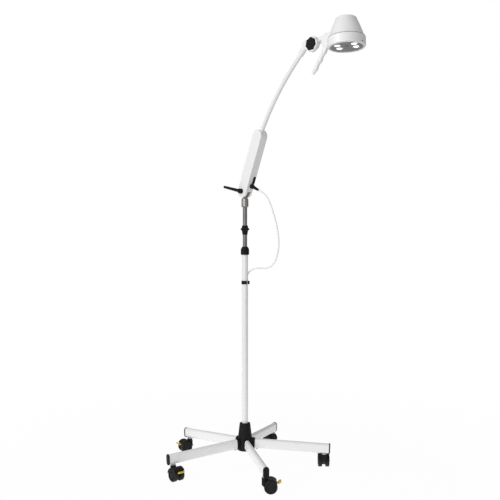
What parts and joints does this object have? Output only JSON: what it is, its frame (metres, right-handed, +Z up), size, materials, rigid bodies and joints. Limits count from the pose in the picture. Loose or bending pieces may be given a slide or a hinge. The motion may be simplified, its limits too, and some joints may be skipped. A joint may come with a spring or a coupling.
{
  "type": "examination lamp",
  "caption": "Wheeled examination lamp: star base with castors, telescopic column, tilting driver housing, curved arm tube and a swivelling cone head with a grip handle.",
  "frame": {"origin": "on the floor, on the column's axis", "axes": "+Z up along the column; the wide low leg star is in the XY plane; the arm leans out towards +X and -Y"},
  "size_m": [0.733, 1.0616, 1.7099],
  "materials": {
    "white_paint": "white powder coat, smooth satin",
    "black_plastic": "black moulded plastic, fine grain",
    "castor_black": "black nylon, semi-gloss",
    "castor_tread": "black soft tread on nylon rims",
    "yellow_plastic": "yellow moulded plastic",
    "steel": "zinc-plated steel",
    "mast_grey": "dark grey satin coat",
    "brushed_steel": "turned and brushed steel",
    "white_plastic": "white moulded plastic, satin",
    "aluminium": "bare aluminium",
    "board_green": "circuit board",
    "driver_case": "potted driver case",
    "grey_plate": "grey moulded plate",
    "lens_clear": "clear moulded lenses",
    "white_cord": "white flexible PVC"
  },
  "bodies": {
    "stand": {"leg_1": "white_paint", "leg_2": "white_paint", "leg_3": "white_paint", "leg_4": "white_paint", "leg_5": "white_paint", "leg_end_caps": "black_plastic", "leg_bolts": "steel", "castor_stems": "steel", "base_hub": "black_plastic", "column_tube": "white_paint", "column_bush": "black_plastic", "cable_clip": "black_plastic", "cord_drop": "white_cord", "cord_hank": "white_cord", "cord_tail": "white_cord", "hank_tie": "black_plastic", "plug": "white_cord"},
    "castor_1": {"castor_1_hood": "castor_black"},
    "wheels_1": {"castor_1_wheels": "castor_tread"},
    "pedal_1": {"castor_1_pedal": "yellow_plastic"},
    "castor_2": {"castor_2_hood": "castor_black"},
    "wheels_2": {"castor_2_wheels": "castor_tread"},
    "pedal_2": {"castor_2_pedal": "yellow_plastic"},
    "castor_3": {"castor_3_hood": "castor_black"},
    "wheels_3": {"castor_3_wheels": "castor_tread"},
    "pedal_3": {"castor_3_pedal": "yellow_plastic"},
    "castor_4": {"castor_4_hood": "castor_black"},
    "wheels_4": {"castor_4_wheels": "castor_tread"},
    "pedal_4": {"castor_4_pedal": "yellow_plastic"},
    "castor_5": {"castor_5_hood": "castor_black"},
    "wheels_5": {"castor_5_wheels": "castor_tread"},
    "pedal_5": {"castor_5_pedal": "yellow_plastic"},
    "collar": {"lock_collar": "black_plastic"},
    "mast": {"mast_tube": "mast_grey", "mast_foot_bush": "black_plastic", "swivel_socket": "brushed_steel", "cord_loop": "white_cord"},
    "stop": {"stop_sleeve": "black_plastic"},
    "stop_nut": {"stop_nut": "black_plastic"},
    "yoke": {"swivel_yoke": "brushed_steel"},
    "arm": {"housing_front": "white_plastic", "housing_back": "white_plastic", "housing_screws": "steel", "led_driver": "driver_case", "power_switch": "black_plastic", "cable_gland": "black_plastic", "arm_tube": "white_paint"},
    "lever": {"clamp_lever": "black_plastic"},
    "rocker": {"power_rocker": "black_plastic"},
    "head_joint": {"joint_body": "white_plastic"},
    "knob": {"joint_knob": "black_plastic"},
    "head": {"head_bracket": "white_plastic", "head_shell": "white_plastic", "head_ring": "white_plastic", "heat_sink": "aluminium", "led_board": "board_green", "lens_plate": "grey_plate", "lenses": "lens_clear", "head_screws": "steel", "handle": "white_plastic"}
  },
  "joints": [
    {"name": "castor_1_swivel", "type": "hinge", "parent": "stand", "child": "castor_1", "pos_m": [0.07477, -0.31628, 0.05], "axis": [0, 0, 1], "continuous": true},
    {"name": "castor_1_roll", "type": "hinge", "parent": "castor_1", "child": "wheels_1", "pos_m": [0.09677, -0.31628, 0.025], "axis": [0, 1, 0], "continuous": true},
    {"name": "castor_1_brake", "type": "hinge", "parent": "castor_1", "child": "pedal_1", "pos_m": [0.11077, -0.31628, 0.036], "axis": [0, 1, 0], "range_deg": [0, 12]},
    {"name": "castor_2_swivel", "type": "hinge", "parent": "stand", "child": "castor_2", "pos_m": [0.32391, -0.02663, 0.05], "axis": [0, 0, 1], "continuous": true},
    {"name": "castor_2_roll", "type": "hinge", "parent": "castor_2", "child": "wheels_2", "pos_m": [0.32391, -0.00463, 0.025], "axis": [-1, 0, 0], "continuous": true},
    {"name": "castor_2_brake", "type": "hinge", "parent": "castor_2", "child": "pedal_2", "pos_m": [0.32391, 0.00937, 0.036], "axis": [-1, 0, 0], "range_deg": [0, 12]},
    {"name": "castor_3_swivel", "type": "hinge", "parent": "stand", "child": "castor_3", "pos_m": [0.12542, 0.29983, 0.05], "axis": [0, 0, 1], "continuous": true},
    {"name": "castor_3_roll", "type": "hinge", "parent": "castor_3", "child": "wheels_3", "pos_m": [0.11128, 0.31668, 0.025], "axis": [-0.766, -0.6428, 0], "continuous": true},
    {"name": "castor_3_brake", "type": "hinge", "parent": "castor_3", "child": "pedal_3", "pos_m": [0.10228, 0.3274, 0.036], "axis": [-0.766, -0.6428, 0], "range_deg": [0, 12]},
    {"name": "castor_4_swivel", "type": "hinge", "parent": "stand", "child": "castor_4", "pos_m": [-0.24639, 0.21193, 0.05], "axis": [0, 0, 1], "continuous": true},
    {"name": "castor_4_roll", "type": "hinge", "parent": "castor_4", "child": "wheels_4", "pos_m": [-0.26545, 0.20093, 0.025], "axis": [0.5, -0.866, 0], "continuous": true},
    {"name": "castor_4_brake", "type": "hinge", "parent": "castor_4", "child": "pedal_4", "pos_m": [-0.27757, 0.19393, 0.036], "axis": [0.5, -0.866, 0], "range_deg": [0, 12]},
    {"name": "castor_5_swivel", "type": "hinge", "parent": "stand", "child": "castor_5", "pos_m": [-0.2777, -0.16884, 0.05], "axis": [0, 0, 1], "continuous": true},
    {"name": "castor_5_roll", "type": "hinge", "parent": "castor_5", "child": "wheels_5", "pos_m": [-0.26356, -0.1857, 0.025], "axis": [0.766, 0.6428, 0], "continuous": true},
    {"name": "castor_5_brake", "type": "hinge", "parent": "castor_5", "child": "pedal_5", "pos_m": [-0.25456, -0.19642, 0.036], "axis": [0.766, 0.6428, 0], "range_deg": [0, 12]},
    {"name": "collar_turn", "type": "hinge", "parent": "stand", "child": "collar", "pos_m": [0, 0, 0.889], "axis": [0, 0, 1], "range_deg": [0, 60]},
    {"name": "mast_slide", "type": "slide", "parent": "stand", "child": "mast", "axis": [0, 0, 1], "range_m": [-0.035, 0.3], "deforming": ["cord_loop"]},
    {"name": "stop_slide", "type": "slide", "parent": "mast", "child": "stop", "axis": [0, 0, 1], "range_m": [-0.012, 0.07]},
    {"name": "stop_nut_turn", "type": "hinge", "parent": "stop", "child": "stop_nut", "pos_m": [0, 0, 0.978], "axis": [0, 0, 1], "range_deg": [0, 90]},
    {"name": "arm_swivel", "type": "hinge", "parent": "mast", "child": "yoke", "pos_m": [0, 0, 1.1], "axis": [0, 0, 1], "range_deg": [-150, 150]},
    {"name": "arm_tilt", "type": "hinge", "parent": "yoke", "child": "arm", "pos_m": [0, 0, 1.1345], "axis": [0.766, 0.6428, 0], "range_deg": [-22, 40]},
    {"name": "lever_turn", "type": "hinge", "parent": "arm", "child": "lever", "pos_m": [0, 0, 1.1345], "axis": [0.766, 0.6428, 0], "range_deg": [-60, 20]},
    {"name": "power_rock", "type": "hinge", "parent": "arm", "child": "rocker", "pos_m": [0.0357, -0.0293, 1.1768], "axis": [-0.766, -0.6428, 0], "range_deg": [0, 12]},
    {"name": "head_swivel", "type": "hinge", "parent": "arm", "child": "head_joint", "pos_m": [0.2359, -0.28114, 1.66155], "axis": [0.4777, -0.5693, 0.6691], "range_deg": [-150, 150]},
    {"name": "head_tilt", "type": "hinge", "parent": "head_joint", "child": "head", "pos_m": [0.25711, -0.30642, 1.65], "axis": [0.766, 0.6428, 0], "range_deg": [-60, 40]},
    {"name": "knob_turn", "type": "hinge", "parent": "head_joint", "child": "knob", "pos_m": [0.25711, -0.30642, 1.65], "axis": [0.766, 0.6428, 0], "range_deg": [0, 180]}
  ]
}
